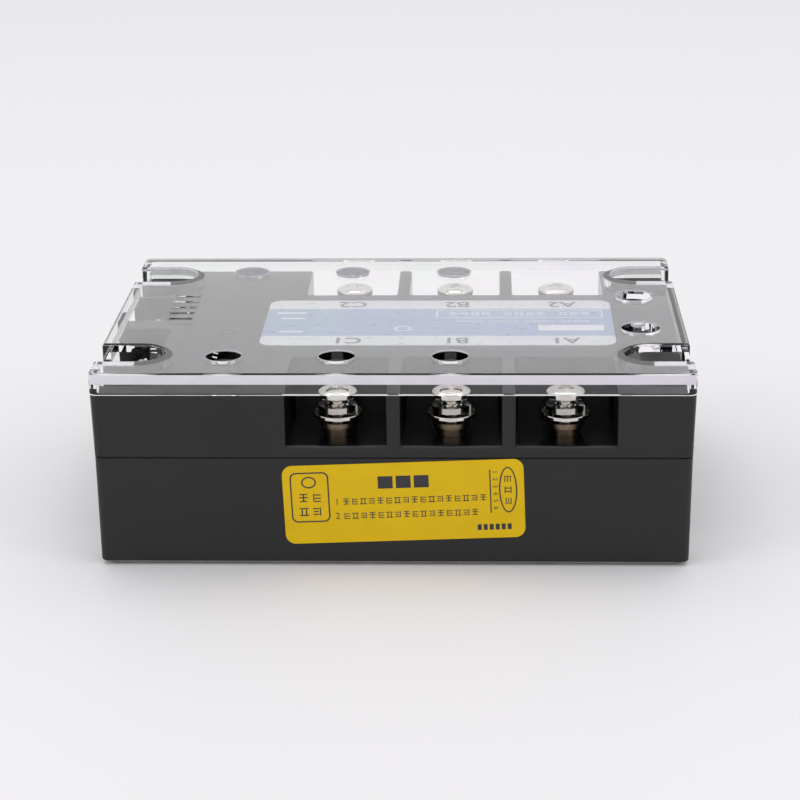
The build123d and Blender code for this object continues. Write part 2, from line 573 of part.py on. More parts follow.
# ---------------------------------------------------------------- potting resin and case screws
RESIN_LOW, RESIN_HIGH = 6.6, 10.6
riser_middle = RISER_Y - BUSBAR_THICK / 2
with BuildPart() as potting_resin:
    with BuildSketch(Plane.XY.offset(RESIN_LOW)):
        RectangleRounded(HALL[0] - 2 * PLAY, HALL[1] - 2 * PLAY, CORNER)
        with BuildSketch(mode=Mode.SUBTRACT):
            u_slots(MOUNT_X, MOUNT_Y, NOTCH_R + NOTCH_WALL + PLAY)
            with GridLocations(2 * BOSS_X, 2 * BOSS_Y, 2, 2):
                Circle(BOSS_R + PLAY)
            with GridLocations(2 * MOUNT_X, 2 * HALL[1] / 2, 2, 2):
                Rectangle(2 * (MOUNT_X - BOSS_X), HALL[1] / 2 - MOUNT_Y)
            with Locations(SPACER_SPOTS):
                Circle(SPACER_R + PLAY)
            with Locations([(x, side * riser_middle) for x in POWER_X for side in (-1, 1)]):
                Rectangle(BUSBAR_WIDE + 2 * PLAY, BUSBAR_THICK + 2 * PLAY)
    extrude(amount=RESIN_HIGH - RESIN_LOW)
write(potting_resin, "potting_resin")

cone_high = CASE_SCREW_HEAD_R - CASE_SCREW_R
cross_long, cross_wide, cross_deep = CASE_SCREW_CROSS
with BuildPart() as case_screws:
    for x in (-BOSS_X, BOSS_X):
        for y in (-BOSS_Y, BOSS_Y):
            turned(x, y, [
                (0, CASE_SCREW_SINK), (CASE_SCREW_HEAD_R - CASE_SCREW_SINK, CASE_SCREW_SINK),
                (CASE_SCREW_R, cone_high), (CASE_SCREW_R, CASE_SCREW_LONG - CASE_SCREW_POINT),
                (CASE_SCREW_R - CASE_SCREW_POINT, CASE_SCREW_LONG), (0, CASE_SCREW_LONG)])
    with BuildSketch(Plane.XY.offset(CASE_SCREW_SINK)):
        with GridLocations(2 * BOSS_X, 2 * BOSS_Y, 2, 2):
            Rectangle(cross_long, cross_wide)
            Rectangle(cross_wide, cross_long)
    extrude(amount=cross_deep, mode=Mode.SUBTRACT)
write(case_screws, "case_screws")
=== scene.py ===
"""Looks of the three-phase solid state relay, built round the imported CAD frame. Metres, +Z up."""

import json
import math

import bmesh
import bpy
from mathutils import Matrix, Vector


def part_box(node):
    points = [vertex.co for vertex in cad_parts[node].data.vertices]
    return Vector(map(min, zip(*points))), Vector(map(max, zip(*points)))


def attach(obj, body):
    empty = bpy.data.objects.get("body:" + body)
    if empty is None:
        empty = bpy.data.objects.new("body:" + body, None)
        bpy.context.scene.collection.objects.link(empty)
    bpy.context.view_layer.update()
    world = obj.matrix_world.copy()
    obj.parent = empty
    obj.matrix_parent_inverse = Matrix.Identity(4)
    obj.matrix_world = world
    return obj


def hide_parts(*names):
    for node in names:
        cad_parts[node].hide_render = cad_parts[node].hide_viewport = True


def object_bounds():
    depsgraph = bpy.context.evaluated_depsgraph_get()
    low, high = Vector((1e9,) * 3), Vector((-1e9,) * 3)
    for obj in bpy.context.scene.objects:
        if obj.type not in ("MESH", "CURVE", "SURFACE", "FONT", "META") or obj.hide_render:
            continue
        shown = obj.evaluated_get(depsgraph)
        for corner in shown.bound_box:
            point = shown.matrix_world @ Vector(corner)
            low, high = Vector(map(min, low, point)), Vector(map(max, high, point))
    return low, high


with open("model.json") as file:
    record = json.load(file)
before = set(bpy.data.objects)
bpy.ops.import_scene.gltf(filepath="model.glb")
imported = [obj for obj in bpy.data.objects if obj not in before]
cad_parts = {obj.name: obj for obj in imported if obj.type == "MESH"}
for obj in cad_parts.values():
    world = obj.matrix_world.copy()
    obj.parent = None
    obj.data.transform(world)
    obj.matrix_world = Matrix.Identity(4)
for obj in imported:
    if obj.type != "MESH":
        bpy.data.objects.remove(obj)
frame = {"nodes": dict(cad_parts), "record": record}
cad_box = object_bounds()

MM = 0.001
NODES = frame["nodes"]
HOUSING = "housing"


# ---------------------------------------------------------------- material helpers
class Nodes:
    """A material's node tree, with short calls for the nodes used here."""

    def __init__(self, name):
        self.material = bpy.data.materials.new(name)
        self.material.use_nodes = True
        self.tree = self.material.node_tree
        self.shader = self.tree.nodes["Principled BSDF"]
        self.output = self.tree.nodes["Material Output"]
        self.coords = self.tree.nodes.new("ShaderNodeTexCoord").outputs["Object"]

    def node(self, kind, **values):
        made = self.tree.nodes.new(kind)
        for key, value in values.items():
            setattr(made, key, value)
        return made

    def link(self, source, target):
        self.tree.links.new(source, target)

    def noise(self, size, detail=3.0, roughness=0.5, stretch=(1, 1, 1)):
        """Noise from 0 to 1 whose lumps are about size metres across, longer along the small stretches."""
        mapping = self.node("ShaderNodeMapping")
        mapping.inputs["Scale"].default_value = stretch
        self.link(self.coords, mapping.inputs["Vector"])
        made = self.node("ShaderNodeTexNoise")
        made.inputs["Scale"].default_value = 1 / size
        made.inputs["Detail"].default_value = detail
        made.inputs["Roughness"].default_value = roughness
        self.link(mapping.outputs["Vector"], made.inputs["Vector"])
        return made.outputs["Fac"]

    def spread(self, source, low, high, from_low=0.3, from_high=0.7):
        """A value from 0 to 1 stretched to run between low and high."""
        made = self.node("ShaderNodeMapRange")
        made.inputs["From Min"].default_value = from_low
        made.inputs["From Max"].default_value = from_high
        made.inputs["To Min"].default_value = low
        made.inputs["To Max"].default_value = high
        self.link(source, made.inputs["Value"])
        return made.outputs["Result"]

    def ramp(self, source, *stops):
        """A colour ramp with stops of (place, colour)."""
        made = self.node("ShaderNodeValToRGB")
        line = made.color_ramp
        while len(line.elements) < len(stops):
            line.elements.new(0.5)
        for element, (place, colour) in zip(line.elements, stops):
            element.position = place
            element.color = (*colour, 1)
        self.link(source, made.inputs["Fac"])
        return made.outputs["Color"]

    def math(self, operation, first, second=None):
        made = self.node("ShaderNodeMath", operation=operation)
        for socket, value in zip(made.inputs, (first, second)):
            if isinstance(value, (int, float)):
                socket.default_value = value
            elif value is not None:
                self.link(value, socket)
        return made.outputs["Value"]

    def bump(self, height, depth, strength=1.0):
        """Bumps of the given depth in metres."""
        made = self.node("ShaderNodeBump")
        made.inputs["Strength"].default_value = strength
        made.inputs["Distance"].default_value = depth
        self.link(height, made.inputs["Height"])
        self.link(made.outputs["Normal"], self.shader.inputs["Normal"])

    def set(self, **values):
        """Plain values on the shader's own sockets, with underscores for spaces."""
        for key, value in values.items():
            self.shader.inputs[key.replace("_", " ")].default_value = value
        return self


def shade(tree, colour_low, colour_high, mottle, rough, rough_size, grain, depth):
    """The pattern that every solid finish here shares: mottled colour, uneven gloss and a fine grain."""
    tone = tree.noise(mottle)
    tree.link(tree.ramp(tone, (0.3, colour_low), (0.7, colour_high)), tree.shader.inputs["Base Color"])
    tree.link(tree.spread(tree.noise(rough_size), *rough), tree.shader.inputs["Roughness"])
    tree.bump(tree.noise(grain), depth)
    return tree.material


# ---------------------------------------------------------------- finishes
def moulded_case():
    """Black housing plastic: spark-eroded grain outside, polished inside the terminal pockets, whose colour
    is painted darker there as painted shade in the recesses.
    """
    tree = Nodes("case_plastic_look").set(IOR=1.42)
    split = tree.node("ShaderNodeSeparateXYZ")
    tree.link(tree.coords, split.inputs["Vector"])
    across = tree.math("ABSOLUTE", split.outputs["Y"])
    inside = tree.math("LESS_THAN", across, POCKET_MOUTH)
    above = tree.math("GREATER_THAN", split.outputs["Z"], POCKET_FLOOR)
    below = tree.math("LESS_THAN", split.outputs["Z"], CASE_TOP - 0.1 * MM)
    pocket_gloss_and_shade = tree.math("MULTIPLY", tree.math("MULTIPLY", inside, above), below)
    tone = tree.noise(14 * MM)
    grey = tree.ramp(tone, (0.3, (0.0085, 0.0085, 0.0098)), (0.7, (0.0105, 0.0105, 0.012)))
    mix = tree.node("ShaderNodeMix", data_type="RGBA")
    tree.link(pocket_gloss_and_shade, mix.inputs[0])
    tree.link(grey, mix.inputs[6])
    # painted shade: inside the pockets the colour is darker, standing in for the shade of the recesses
    mix.inputs[7].default_value = (0.0022, 0.0022, 0.0028, 1)
    tree.link(mix.outputs[2], tree.shader.inputs["Base Color"])
    matt = tree.spread(tree.noise(3 * MM), 0.42, 0.5)
    gloss = tree.math("MULTIPLY", pocket_gloss_and_shade, -0.24)
    tree.link(tree.math("ADD", matt, gloss), tree.shader.inputs["Roughness"])
    outside = tree.math("SUBTRACT", 1.0, pocket_gloss_and_shade)
    tree.bump(tree.math("MULTIPLY", tree.noise(0.16 * MM, 2), outside), 0.012 * MM)
    return tree.material


def clear_plastic():
    """The cover: clear acrylic, with faint colours where the moulding is under stress.

    The light of lamps passes it by, so that it reaches what the cover covers.
    """
    tree = Nodes("cover_clear_look").set(Transmission_Weight=1.0, IOR=1.49)
    tint = tree.noise(24 * MM, 1.5, 0.4, stretch=(1, 1.6, 1))
    colours = tree.ramp(tint, (0.32, (0.955, 0.94, 0.985)), (0.45, (0.985, 0.985, 0.985)),
                        (0.55, (0.95, 0.985, 0.96)), (0.66, (0.985, 0.955, 0.97)))
    tree.link(colours, tree.shader.inputs["Base Color"])
    tree.shader.inputs["Roughness"].default_value = 0.012
    tree.bump(tree.noise(9 * MM, 1.0), 0.02 * MM, 0.35)
    lamps = tree.node("ShaderNodeLightPath").outputs["Is Shadow Ray"]
    open_air = tree.node("ShaderNodeBsdfTransparent")
    open_air.inputs["Color"].default_value = (0.93, 0.93, 0.94, 1)
    mix = tree.node("ShaderNodeMixShader")
    tree.link(lamps, mix.inputs["Fac"])
    tree.link(tree.shader.outputs["BSDF"], mix.inputs[1])
    tree.link(open_air.outputs["BSDF"], mix.inputs[2])
    tree.link(mix.outputs["Shader"], tree.output.inputs["Surface"])
    return tree.material


def plated_metal(name, low, high, rough, mottle=1.2 * MM):
    """Plated or bare metal with small stains, fine scratches and uneven gloss."""
    tree = Nodes(name).set(Metallic=1.0)
    tone = tree.noise(mottle, 4)
    tree.link(tree.ramp(tone, (0.3, low), (0.7, high)), tree.shader.inputs["Base Color"])
    tree.link(tree.spread(tree.noise(0.7 * MM), *rough), tree.shader.inputs["Roughness"])
    scratches = tree.noise(0.35 * MM, 2, stretch=(1, 0.12, 1))
    tree.bump(scratches, 0.002 * MM)
    return tree.material


def film(name, low, high, rough=(0.26, 0.34), ior=1.46):
    """Printed label film, nearly even, with a soft unevenness of the adhesive underneath."""
    tree = Nodes(name).set(IOR=ior)
    tree.link(tree.ramp(tree.noise(6 * MM), (0.3, low), (0.7, high)), tree.shader.inputs["Base Color"])
    tree.link(tree.spread(tree.noise(2 * MM), *rough), tree.shader.inputs["Roughness"])
    tree.bump(tree.noise(1.5 * MM, 2), 0.006 * MM)
    return tree.material


def plain_plastic(name, low, high, rough=(0.4, 0.5), grain=0.2 * MM, depth=0.008 * MM):
    return shade(Nodes(name), low, high, 4 * MM, rough, 2 * MM, grain, depth)


def tinted_lens():
    """The indicator's dyed lens."""
    tree = Nodes("led_red_look").set(Transmission_Weight=0.35, IOR=1.5)
    tree.link(tree.ramp(tree.noise(0.8 * MM), (0.3, (0.035, 0.004, 0.004)), (0.7, (0.05, 0.005, 0.005))),
              tree.shader.inputs["Base Color"])
    tree.link(tree.spread(tree.noise(0.5 * MM), 0.16, 0.24), tree.shader.inputs["Roughness"])
    tree.bump(tree.noise(0.3 * MM), 0.002 * MM)
    return tree.material


upper_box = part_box("upper_case")
CASE_TOP = upper_box[1][2]
POCKET_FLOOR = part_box("power_posts")[1][2] - 2.55 * MM  # just above the floor of the pockets
POCKET_MOUTH = upper_box[1][1] - 0.45 * MM  # just behind the drafted outer face

LOOKS = {
    "case_plastic": moulded_case(),
    "cover_clear": clear_plastic(),
    # plate_metal: plated steel, its colour set darker than the bare metal as painted shade along the base's
    # lower edge
    "plate_metal": plated_metal("plate_metal_look", (0.26, 0.24, 0.225), (0.33, 0.31, 0.29), (0.30, 0.42),
                                mottle=6 * MM),
    "label_top": film("label_top_look", (0.60, 0.61, 0.63), (0.63, 0.64, 0.66)),
    "label_yellow": film("label_yellow_look", (0.62, 0.405, 0.001), (0.66, 0.435, 0.0015), ior=1.3),
    "nickel": plated_metal("nickel_look", (0.60, 0.57, 0.53), (0.72, 0.69, 0.65), (0.06, 0.13)),
    "spring_steel": plated_metal("spring_steel_look", (0.44, 0.42, 0.39), (0.56, 0.54, 0.51), (0.10, 0.18)),
    "brass": plated_metal("brass_look", (0.17, 0.13, 0.09), (0.24, 0.18, 0.12), (0.24, 0.36)),
    "copper": plated_metal("copper_look", (0.62, 0.27, 0.16), (0.74, 0.36, 0.22), (0.25, 0.38)),
    "ceramic": plain_plastic("ceramic_look", (0.74, 0.73, 0.69), (0.80, 0.79, 0.76), (0.3, 0.4)),
    "silicon": plain_plastic("silicon_look", (0.03, 0.03, 0.035), (0.05, 0.05, 0.06), (0.1, 0.18)),
    "board": plain_plastic("board_look", (0.012, 0.11, 0.03), (0.018, 0.14, 0.04), (0.25, 0.35)),
    "spacer_plastic": plain_plastic("spacer_look", (0.60, 0.58, 0.50), (0.66, 0.64, 0.56)),
    "chip_plastic": plain_plastic("chip_look", (0.012, 0.012, 0.012), (0.02, 0.02, 0.02)),
    "capacitor": plain_plastic("capacitor_look", (0.42, 0.08, 0.02), (0.50, 0.11, 0.03), (0.2, 0.3)),
    "resistor": plain_plastic("resistor_look", (0.50, 0.38, 0.18), (0.56, 0.44, 0.22), (0.25, 0.35)),
    "led_red": tinted_lens(),
    "resin": plain_plastic("resin_look", (0.03, 0.03, 0.03), (0.045, 0.045, 0.045), (0.15, 0.3),
                           grain=1 * MM, depth=0.02 * MM),
}
PRINTS = {
    "print_blue": film("print_blue_look", (0.20, 0.28, 0.45), (0.225, 0.305, 0.475)),
    "print_white": film("print_white_look", (0.68, 0.69, 0.71), (0.71, 0.72, 0.74)),
    "print_dark": film("print_dark_look", (0.018, 0.018, 0.02), (0.026, 0.026, 0.03), (0.35, 0.45)),
}

for row in frame["record"]["subparts"]:
    slots = NODES[row["node"]].material_slots
    for slot in slots:
        slot.material = LOOKS[row["material_slot"]]


# ---------------------------------------------------------------- pieces made here
def piece(name, mesh, material, body):
    """An object for a finished mesh, riding on a body."""
    made = bpy.data.objects.new(name, mesh)
    bpy.context.scene.collection.objects.link(made)
    made.data.materials.clear()
    made.data.materials.append(material)
    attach(made, body)
    return made


def shade_by_angle(mesh, degrees=35):
    """Smooth shading with hard edges where faces meet at more than the angle."""
    mesh.shade_smooth()
    work = bmesh.new()
    work.from_mesh(mesh)
    for edge in work.edges:
        edge.smooth = len(edge.link_faces) == 2 and edge.calc_face_angle(0) < math.radians(degrees)
    work.to_mesh(mesh)
    work.free()


TIP_FADE, HEAD_FADE = 1.0, 0.6  # how far the thread runs out at its ends, in turns
FLANK_SLOPE, ROOT_FLAT = 1.35, 0.1  # shape of the thread's side, as shares of its depth


def screw_surface(work, axis, radius, under, tip, pitch, depth):
    """A threaded shank as one closed surface, whose radius follows a thread that fades at both ends."""
    around, per_turn = 40, 8
    length = under - tip
    rings = int(length / pitch * per_turn)
    rows = []
    for ring in range(rings + 1):
        z = tip + length * ring / rings
        fade = max(0.0, min(1.0, (z - tip) / (TIP_FADE * pitch), (under - z) / (HEAD_FADE * pitch)))
        row = []
        for step in range(around):
            turn = step / around
            phase = (z / pitch - turn) % 1.0
            crest = 1 - abs(2 * phase - 1)
            flank = min(1.0, max(0.0, FLANK_SLOPE * crest - ROOT_FLAT))
            reach = radius - depth * (1 - flank * fade)
            angle = 2 * math.pi * turn
            x, y = axis[0] + reach * math.cos(angle), axis[1] + reach * math.sin(angle)
            row.append(work.verts.new((x, y, z)))
        rows.append(row)
    for low, high in zip(rows, rows[1:]):
        for step in range(around):
            other = (step + 1) % around
            work.faces.new((low[step], low[other], high[other], high[step]))
    work.faces.new(list(reversed(rows[0])))
    work.faces.new(rows[-1])


def turned_profile(work, axis, points, around=72):
    """A closed surface turned about a vertical axis, from (radius, height) points that end on it."""
    rings = []
    for radius, z in points:
        if radius <= 0:
            rings.append([work.verts.new((axis[0], axis[1], z))])
            continue
        rings.append([work.verts.new((axis[0] + radius * math.cos(2 * math.pi * step / around),
                                      axis[1] + radius * math.sin(2 * math.pi * step / around), z))
                      for step in range(around)])
    for low, high in zip(rings, rings[1:]):
        for step in range(around):
            other = (step + 1) % around
            corners = [low[step % len(low)], low[other % len(low)],
                       high[other % len(high)], high[step % len(high)]]
            faces = []
            for corner in corners:
                if corner not in faces:
                    faces.append(corner)
            work.faces.new(faces)


CUTTER_RISE = 1.0 * MM  # how far the cutter stands out of the head
CUTTER_FACES = ((3, 2, 1, 0), (4, 5, 6, 7), (0, 1, 5, 4), (1, 2, 6, 5), (2, 3, 7, 6), (3, 0, 4, 7))


def cross_cutter(axis, top, arm, slot, deep, turn):
    """A tapered cross with slanted flanks, to be cut out of a screw's head."""
    work = bmesh.new()
    for quarter in (0, 1):
        angle = math.radians(turn) + quarter * math.pi / 2
        spin = Matrix.Rotation(angle, 4, "Z")
        corners = []
        for level, arm_share, slot_share in ((CUTTER_RISE, 1, 1.12), (-deep, 0.55, 0.8)):
            long, wide = arm / 2 * arm_share, slot / 2 * slot_share
            for sign_x, sign_y in ((-1, -1), (1, -1), (1, 1), (-1, 1)):
                spot = spin @ Vector((sign_x * long, sign_y * wide, 0))
                corners.append(work.verts.new((axis[0] + spot.x, axis[1] + spot.y, top + level)))
        for face in CUTTER_FACES:
            work.faces.new([corners[index] for index in face])
        bmesh.ops.recalc_face_normals(work, faces=work.faces)
    mesh = bpy.data.meshes.new("cutter")
    work.to_mesh(mesh)
    work.free()
    return mesh


def finished_mesh(name, obj):
    """The object's mesh with its modifiers applied; the object itself is removed."""
    bpy.context.view_layer.update()
    graph = bpy.context.evaluated_depsgraph_get()
    mesh = bpy.data.meshes.new_from_object(obj.evaluated_get(graph))
    mesh.name = name
    bpy.data.objects.remove(obj, do_unlink=True)
    return mesh


def temporary(mesh):
    made = bpy.data.objects.new("temporary", mesh)
    bpy.context.scene.collection.objects.link(made)
    return made


# ---------------------------------------------------------------- terminal screws
SCREWS = {
    "power": {"long": 12.0 * MM, "head": 1.85 * MM, "pitch": 0.7 * MM, "depth": 0.36 * MM,
              "recess": (4.4 * MM, 0.95 * MM, 1.25 * MM), "thread": 2.0 * MM},
    "control": {"long": 10.0 * MM, "head": 1.5 * MM, "pitch": 0.5 * MM, "depth": 0.26 * MM,
                "recess": (3.4 * MM, 0.75 * MM, 0.95 * MM), "thread": 1.5 * MM},
}
SEAT_GAP, BRIM_HIGH, BRIM_IN = 0.02 * MM, 0.2 * MM, 0.18 * MM  # the head's lower edge
SHOULDER_SHARE, DOME_STEPS, DOME_POWER = 0.42, 12, 0.72  # where the dome starts, and how full it is
HEAD_TURN = {"c1": 24, "b1": 2, "a1": 47, "c2": 12, "b2": 65, "a2": 33, "in_3": 20, "in_4": 75}


def screw(site, turn):
    """A domed screw with a cut cross and a real thread, in place of the plain one."""
    kind = SCREWS["control" if site.startswith("in") else "power"]
    low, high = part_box("screw_" + site)
    axis = ((low[0] + high[0]) / 2, (low[1] + high[1]) / 2)
    head_r = (high[0] - low[0]) / 2
    tip, under = low[2], low[2] + kind["long"]
    top = under + kind["head"]
    work = bmesh.new()
    seat, brim = under + SEAT_GAP, under + BRIM_HIGH
    shoulder = under + SHOULDER_SHARE * kind["head"]
    outline = [(0, seat), (head_r - BRIM_IN, seat), (head_r, brim), (head_r, shoulder)]
    for step in range(1, DOME_STEPS + 1):
        angle = step / DOME_STEPS * math.pi / 2
        radius = head_r * math.cos(angle) ** DOME_POWER if step < DOME_STEPS else 0
        outline.append((radius, shoulder + (top - shoulder) * math.sin(angle)))
    turned_profile(work, axis, outline, 96)
    bmesh.ops.recalc_face_normals(work, faces=work.faces)
    mesh = bpy.data.meshes.new("head")
    work.to_mesh(mesh)
    work.free()
    head = temporary(mesh)
    arm, slot, deep = kind["recess"]
    cutter = temporary(cross_cutter(axis, top, arm, slot, deep, turn))
    cut = head.modifiers.new("recess", "BOOLEAN")
    cut.operation, cut.solver, cut.object, cut.use_self = "DIFFERENCE", "EXACT", cutter, True
    edges = head.modifiers.new("edges", "BEVEL")
    edges.width, edges.segments = 0.07 * MM, 2
    edges.limit_method, edges.angle_limit = "ANGLE", math.radians(38)
    cut_head = finished_mesh("cut_head", head)
    bpy.data.objects.remove(cutter, do_unlink=True)
    work = bmesh.new()
    work.from_mesh(cut_head)
    screw_surface(work, axis, kind["thread"], under + 0.03 * MM, tip, kind["pitch"], kind["depth"])
    bmesh.ops.recalc_face_normals(work, faces=work.faces)
    mesh = bpy.data.meshes.new("screw_mesh_" + site)
    work.to_mesh(mesh)
    work.free()
    shade_by_angle(mesh, 32)
    made = piece("threaded_screw_" + site, mesh, LOOKS["nickel"], "screw_" + site)
    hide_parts("screw_" + site)


for site, turn in HEAD_TURN.items():
    screw(site, turn)


# ---------------------------------------------------------------- the cover's bright cut edges, painted as highlight sheets
GLOW_SINK = 0.03 * MM  # how deep the layer lies under the plastic's surface
EDGE_THICK, RIM_THICK, SKIRT_THICK = 0.1 * MM, 0.1 * MM, 0.45 * MM
# painted highlight: pale lilac sheets inside the clear plastic stand for the light it gathers at its cut
# edges, hole rims and skirt rim
COVER_EDGE_GLOW = plain_plastic("cover_edge_look", (0.92, 0.89, 0.97), (0.96, 0.94, 0.99), (0.3, 0.4))
cover_low, cover_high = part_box("clear_cover")
EMBOSS_HIGH = 0.2 * MM  # the raised bars stand this much above the plate
PLATE_TOP = cover_high[2] - EMBOSS_HIGH
PLATE_UNDER, RIM_UNDER = PLATE_TOP - 2.0 * MM, PLATE_TOP - 0.3 * MM
OUTER_EDGE = cover_high[1] - 0.6 * MM  # faces further out than this are the plate's outer edge
SLACK = 0.01 * MM
UPRIGHT = 0.3  # a face whose normal leans less than this from level counts as upright


def glow_sheet(name, keep, thick):
    """A thin matt pale sheet just under the cover's faces that keep picks: a painted highlight where clear
    plastic gathers light.
    """
    holder = NODES["clear_cover"]
    work = bmesh.new()
    work.from_mesh(holder.data)
    work.transform(holder.matrix_world)
    bmesh.ops.remove_doubles(work, verts=work.verts, dist=0.002 * MM)
    for level in (PLATE_UNDER, RIM_UNDER):
        everything = list(work.verts) + list(work.edges) + list(work.faces)
        bmesh.ops.bisect_plane(work, geom=everything, plane_co=(0, 0, level), plane_no=(0, 0, 1))
    work.normal_update()
    spare = [face for face in work.faces if not keep(face)]
    bmesh.ops.delete(work, geom=spare, context="FACES")
    work.normal_update()
    outside = list(work.faces)
    rim = [edge for edge in work.edges if len(edge.link_faces) == 1]
    for vert in work.verts:
        vert.co -= vert.normal * GLOW_SINK
    inner = {vert: work.verts.new(vert.co - vert.normal * thick) for vert in list(work.verts)}
    for face in outside:
        work.faces.new([inner[vert] for vert in reversed(face.verts)])
    for edge in rim:
        first, second = edge.verts
        work.faces.new((first, second, inner[second], inner[first]))
    bmesh.ops.recalc_face_normals(work, faces=work.faces)
    mesh = bpy.data.meshes.new(name)
    work.to_mesh(mesh)
    work.free()
    shade_by_angle(mesh)
    return piece(name, mesh, COVER_EDGE_GLOW, "cover")


def plate_edge(face):
    """The plate's own outer edge at the front and the back, above the skirt."""
    lowest = min(vert.co.z for vert in face.verts)
    outer = abs(face.calc_center_median().y) > OUTER_EDGE
    return outer and abs(face.normal.z) < UPRIGHT and lowest > PLATE_UNDER - SLACK


def hole_rim(face):
    """The top of the walls of the holes in the plate."""
    levels = [vert.co.z for vert in face.verts]
    inside = abs(face.calc_center_median().y) < OUTER_EDGE
    near_top = min(levels) > RIM_UNDER - SLACK and max(levels) < PLATE_TOP + SLACK
    return inside and abs(face.normal.z) < UPRIGHT and near_top


def skirt_rim(face):
    """The lowest faces of the cover, which look down."""
    highest = max(vert.co.z for vert in face.verts)
    return face.normal.z < -0.9 and highest < cover_low[2] + 0.1 * MM


glow_sheet("cover_plate_edge", plate_edge, EDGE_THICK)
glow_sheet("cover_hole_rims", hole_rim, RIM_THICK)
glow_sheet("cover_skirt_rim", skirt_rim, SKIRT_THICK)


# ---------------------------------------------------------------- printing on the labels
INK = 0.012 * MM


def rounded(width, height, radius, steps=6):
    """The outline of a rounded rectangle about its middle."""
    points = []
    for corner, (sign_x, sign_y) in enumerate(((1, 1), (-1, 1), (-1, -1), (1, -1))):
        for step in range(steps + 1):
            angle = math.pi / 2 * (corner + step / steps)
            points.append((sign_x * (width / 2 - radius) + radius * math.cos(angle),
                           sign_y * (height / 2 - radius) + radius * math.sin(angle)))
    return points


def oval(width, height, steps=48):
    angles = [2 * math.pi * step / steps for step in range(steps)]
    return [(width / 2 * math.cos(angle), height / 2 * math.sin(angle)) for angle in angles]


class Printing:
    """Ink laid on a label, as thin closed shapes in the label's own axes, in millimetres."""

    def __init__(self, place):
        self.place = place  # takes the label's millimetres to the frame's metres
        self.work = bmesh.new()

    def corner(self, x, y, high):
        return self.work.verts.new(self.place @ Vector((x * MM, y * MM, INK if high else 0)))

    def patch(self, x, y, outline):
        low = [self.corner(x + u, y + v, False) for u, v in outline]
        high = [self.corner(x + u, y + v, True) for u, v in outline]
        self.work.faces.new(list(reversed(low)))
        self.work.faces.new(high)
        for index in range(len(outline)):
            other = (index + 1) % len(outline)
            self.work.faces.new((low[index], low[other], high[other], high[index]))

    def bar(self, x, y, width, height):
        self.patch(x, y, [(-width / 2, -height / 2), (width / 2, -height / 2), (width / 2, height / 2),
                          (-width / 2, height / 2)])

    def ring(self, x, y, outside, inside):
        loops = [[self.corner(x + u, y + v, high) for u, v in outline]
                 for outline, high in ((outside, False), (outside, True), (inside, True), (inside, False))]
        for first, second in zip(loops, loops[1:] + loops[:1]):
            for index in range(len(first)):
                other = (index + 1) % len(first)
                self.work.faces.new((first[index], first[other], second[other], second[index]))

    def sign(self, x, y, size, kind, quarter=0):
        """A made-up character that says nothing: a few strokes in a square."""
        strokes = STROKES[kind % len(STROKES)]
        for u, v, width, height in strokes:
            if quarter:
                u, v, width, height = v, -u, height, width
            self.bar(x + u * size, y + v * size, width * size, height * size)

    def text(self, x, y, words, size, turn=0.0, bold=0.0):
        curve = bpy.data.curves.new("mark", "FONT")
        curve.body, curve.size, curve.align_x, curve.align_y = words, size, "CENTER", "CENTER"
        curve.resolution_u = 5
        curve.extrude, curve.offset = 0.5, bold
        holder = temporary(curve)
        mesh = finished_mesh("mark", holder)
        spin = Matrix.Rotation(math.radians(turn), 4, "Z")
        fresh = bmesh.new()
        fresh.from_mesh(mesh)
        for vert in fresh.verts:
            spot = spin @ vert.co
            vert.co = self.place @ Vector(((x + spot.x) * MM, (y + spot.y) * MM, INK if spot.z > 0 else 0))
        fresh.to_mesh(mesh)
        fresh.free()
        self.work.from_mesh(mesh)

    def finish(self, name, look):
        bmesh.ops.recalc_face_normals(self.work, faces=self.work.faces)
        mesh = bpy.data.meshes.new(name)
        self.work.to_mesh(mesh)
        self.work.free()
        return piece(name, mesh, PRINTS[look], HOUSING)


STROKES = (  # strokes as (middle x, middle y, width, height), as shares of the character's size
    ((0, 0.4, 0.8, 0.12), (0, 0.05, 0.9, 0.12), (0, -0.35, 0.7, 0.12), (0, 0, 0.13, 0.85)),
    ((-0.28, 0, 0.12, 0.9), (0.12, 0.3, 0.6, 0.12), (0.12, -0.05, 0.6, 0.12), (0.12, -0.38, 0.6, 0.12)),
    ((0, 0.36, 0.9, 0.12), (-0.22, -0.08, 0.13, 0.7), (0.22, -0.08, 0.13, 0.7), (0, -0.38, 0.9, 0.12)),
    ((0.3, 0, 0.12, 0.9), (-0.12, 0.32, 0.6, 0.12), (-0.12, 0, 0.5, 0.12), (-0.12, -0.3, 0.6, 0.12)),
)

rating_low, rating_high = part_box("rating_label")
rating_place = Matrix.Translation(((rating_low[0] + rating_high[0]) / 2,
                                   (rating_low[1] + rating_high[1]) / 2, rating_high[2]))
RATING_LONG = (rating_high[0] - rating_low[0]) / MM
BAND_WIDE = 16.9

band = Printing(rating_place)
band.bar(0, 0, RATING_LONG, BAND_WIDE)
band.finish("rating_band", "print_blue")

LABEL_X, LABEL_Y = rating_place.translation.x / MM, rating_place.translation.y / MM

MARK_SHIFT, MARK_SIZE, MARK_BOLD = 0.6, 4.6, 0.09

marks = Printing(rating_place)
for letter, name in (("C", "c1"), ("B", "b1"), ("A", "a1")):
    low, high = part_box("flat_washer_" + name)
    x = (low[0] + high[0]) / 2 / MM + MARK_SHIFT - LABEL_X
    for number, y in (("1", -10.1), ("2", 12.6)):
        marks.text(x, y - LABEL_Y, letter + number, MARK_SIZE, 180, MARK_BOLD)
marks.finish("terminal_marks", "print_dark")

lines = Printing(rating_place @ Matrix.Translation((0, 0, INK)))


def on_label(x, y):
    """The label's own millimetres for a place in the frame's millimetres."""
    return x - LABEL_X, y - LABEL_Y


